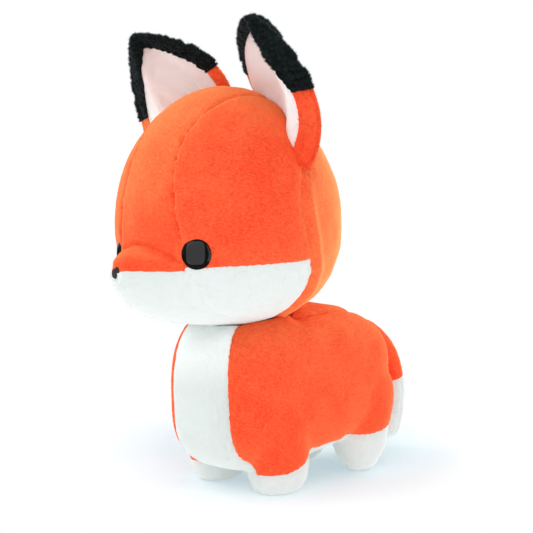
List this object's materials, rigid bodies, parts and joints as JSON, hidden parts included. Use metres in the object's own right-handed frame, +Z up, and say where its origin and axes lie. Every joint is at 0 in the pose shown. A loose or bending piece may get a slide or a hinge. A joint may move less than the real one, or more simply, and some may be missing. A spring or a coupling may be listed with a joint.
{
  "type": "plush fox",
  "caption": "Standing stuffed plush fox with a large round head, cupped ears, stub legs with white socks and a hanging tail.",
  "frame": {"origin": "on the ground, under the middle of the fox's bounding box", "axes": "+Z up, the fox faces -Y, its own left side is +X"},
  "size_m": [0.135, 0.2251, 0.2536],
  "materials": {
    "orange_plush": "short orange plush",
    "white_plush": "short white plush",
    "black_sherpa": "curly black sherpa",
    "ear_lining": "pale pink-white plush",
    "stuffing": "loose polyester fibre",
    "black_plastic": "glossy",
    "washer_plastic": "matt, hidden"
  },
  "bodies": {
    "torso": {"torso_stuffing": "stuffing", "leg_stuffing_front_left": "stuffing", "leg_stuffing_front_right": "stuffing", "leg_stuffing_rear_left": "stuffing", "leg_stuffing_rear_right": "stuffing", "foot_front_left": "white_plush", "foot_front_right": "white_plush", "foot_rear_left": "white_plush", "foot_rear_right": "white_plush", "chest_panel": "white_plush", "belly_panel": "white_plush", "back_panel": "orange_plush", "side_panel_left": "orange_plush", "side_panel_right": "orange_plush"},
    "neck": {"neck_stuffing": "stuffing"},
    "head": {"nose": "black_plastic", "nose_washer": "washer_plastic", "eye_left": "black_plastic", "eye_left_washer": "washer_plastic", "eye_right": "black_plastic", "eye_right_washer": "washer_plastic", "head_stuffing": "stuffing", "forehead_panel": "orange_plush", "chin_panel": "white_plush", "face_panel_left": "orange_plush", "cheek_panel_left": "white_plush", "head_back_panel_left": "orange_plush", "face_panel_right": "orange_plush", "cheek_panel_right": "white_plush", "head_back_panel_right": "orange_plush"},
    "ear_left": {"ear_base_left": "orange_plush", "ear_tip_left": "black_sherpa", "ear_lining_left": "ear_lining"},
    "ear_right": {"ear_base_right": "orange_plush", "ear_tip_right": "black_sherpa", "ear_lining_right": "ear_lining"},
    "tail": {"tail_base_panel": "orange_plush", "tail_tip_panel": "white_plush", "tail_stuffing": "stuffing"}
  },
  "joints": [
    {"name": "head_turn", "type": "hinge", "parent": "torso", "child": "neck", "pos_m": [0, -0.032, 0.093], "axis": [0, 0, 1], "range_deg": [-12, 12], "stiffness_Nm_per_rad": 3},
    {"name": "head_nod", "type": "hinge", "parent": "neck", "child": "head", "pos_m": [0, -0.032, 0.093], "axis": [1, 0, 0], "range_deg": [-5, 5], "stiffness_Nm_per_rad": 3},
    {"name": "ear_left_bend", "type": "hinge", "parent": "head", "child": "ear_left", "pos_m": [0.009, -0.016, 0.2161], "axis": [0.7629, -0.2136, -0.6103], "range_deg": [-10, 10], "stiffness_Nm_per_rad": 0.3},
    {"name": "ear_right_bend", "type": "hinge", "parent": "head", "child": "ear_right", "pos_m": [-0.009, -0.016, 0.2161], "axis": [0.7629, 0.2136, 0.6103], "range_deg": [-10, 10], "stiffness_Nm_per_rad": 0.3},
    {"name": "tail_lift", "type": "hinge", "parent": "torso", "child": "tail", "pos_m": [0, 0.078, 0.086], "axis": [1, 0, 0], "range_deg": [0, 35], "stiffness_Nm_per_rad": 0.3}
  ]
}
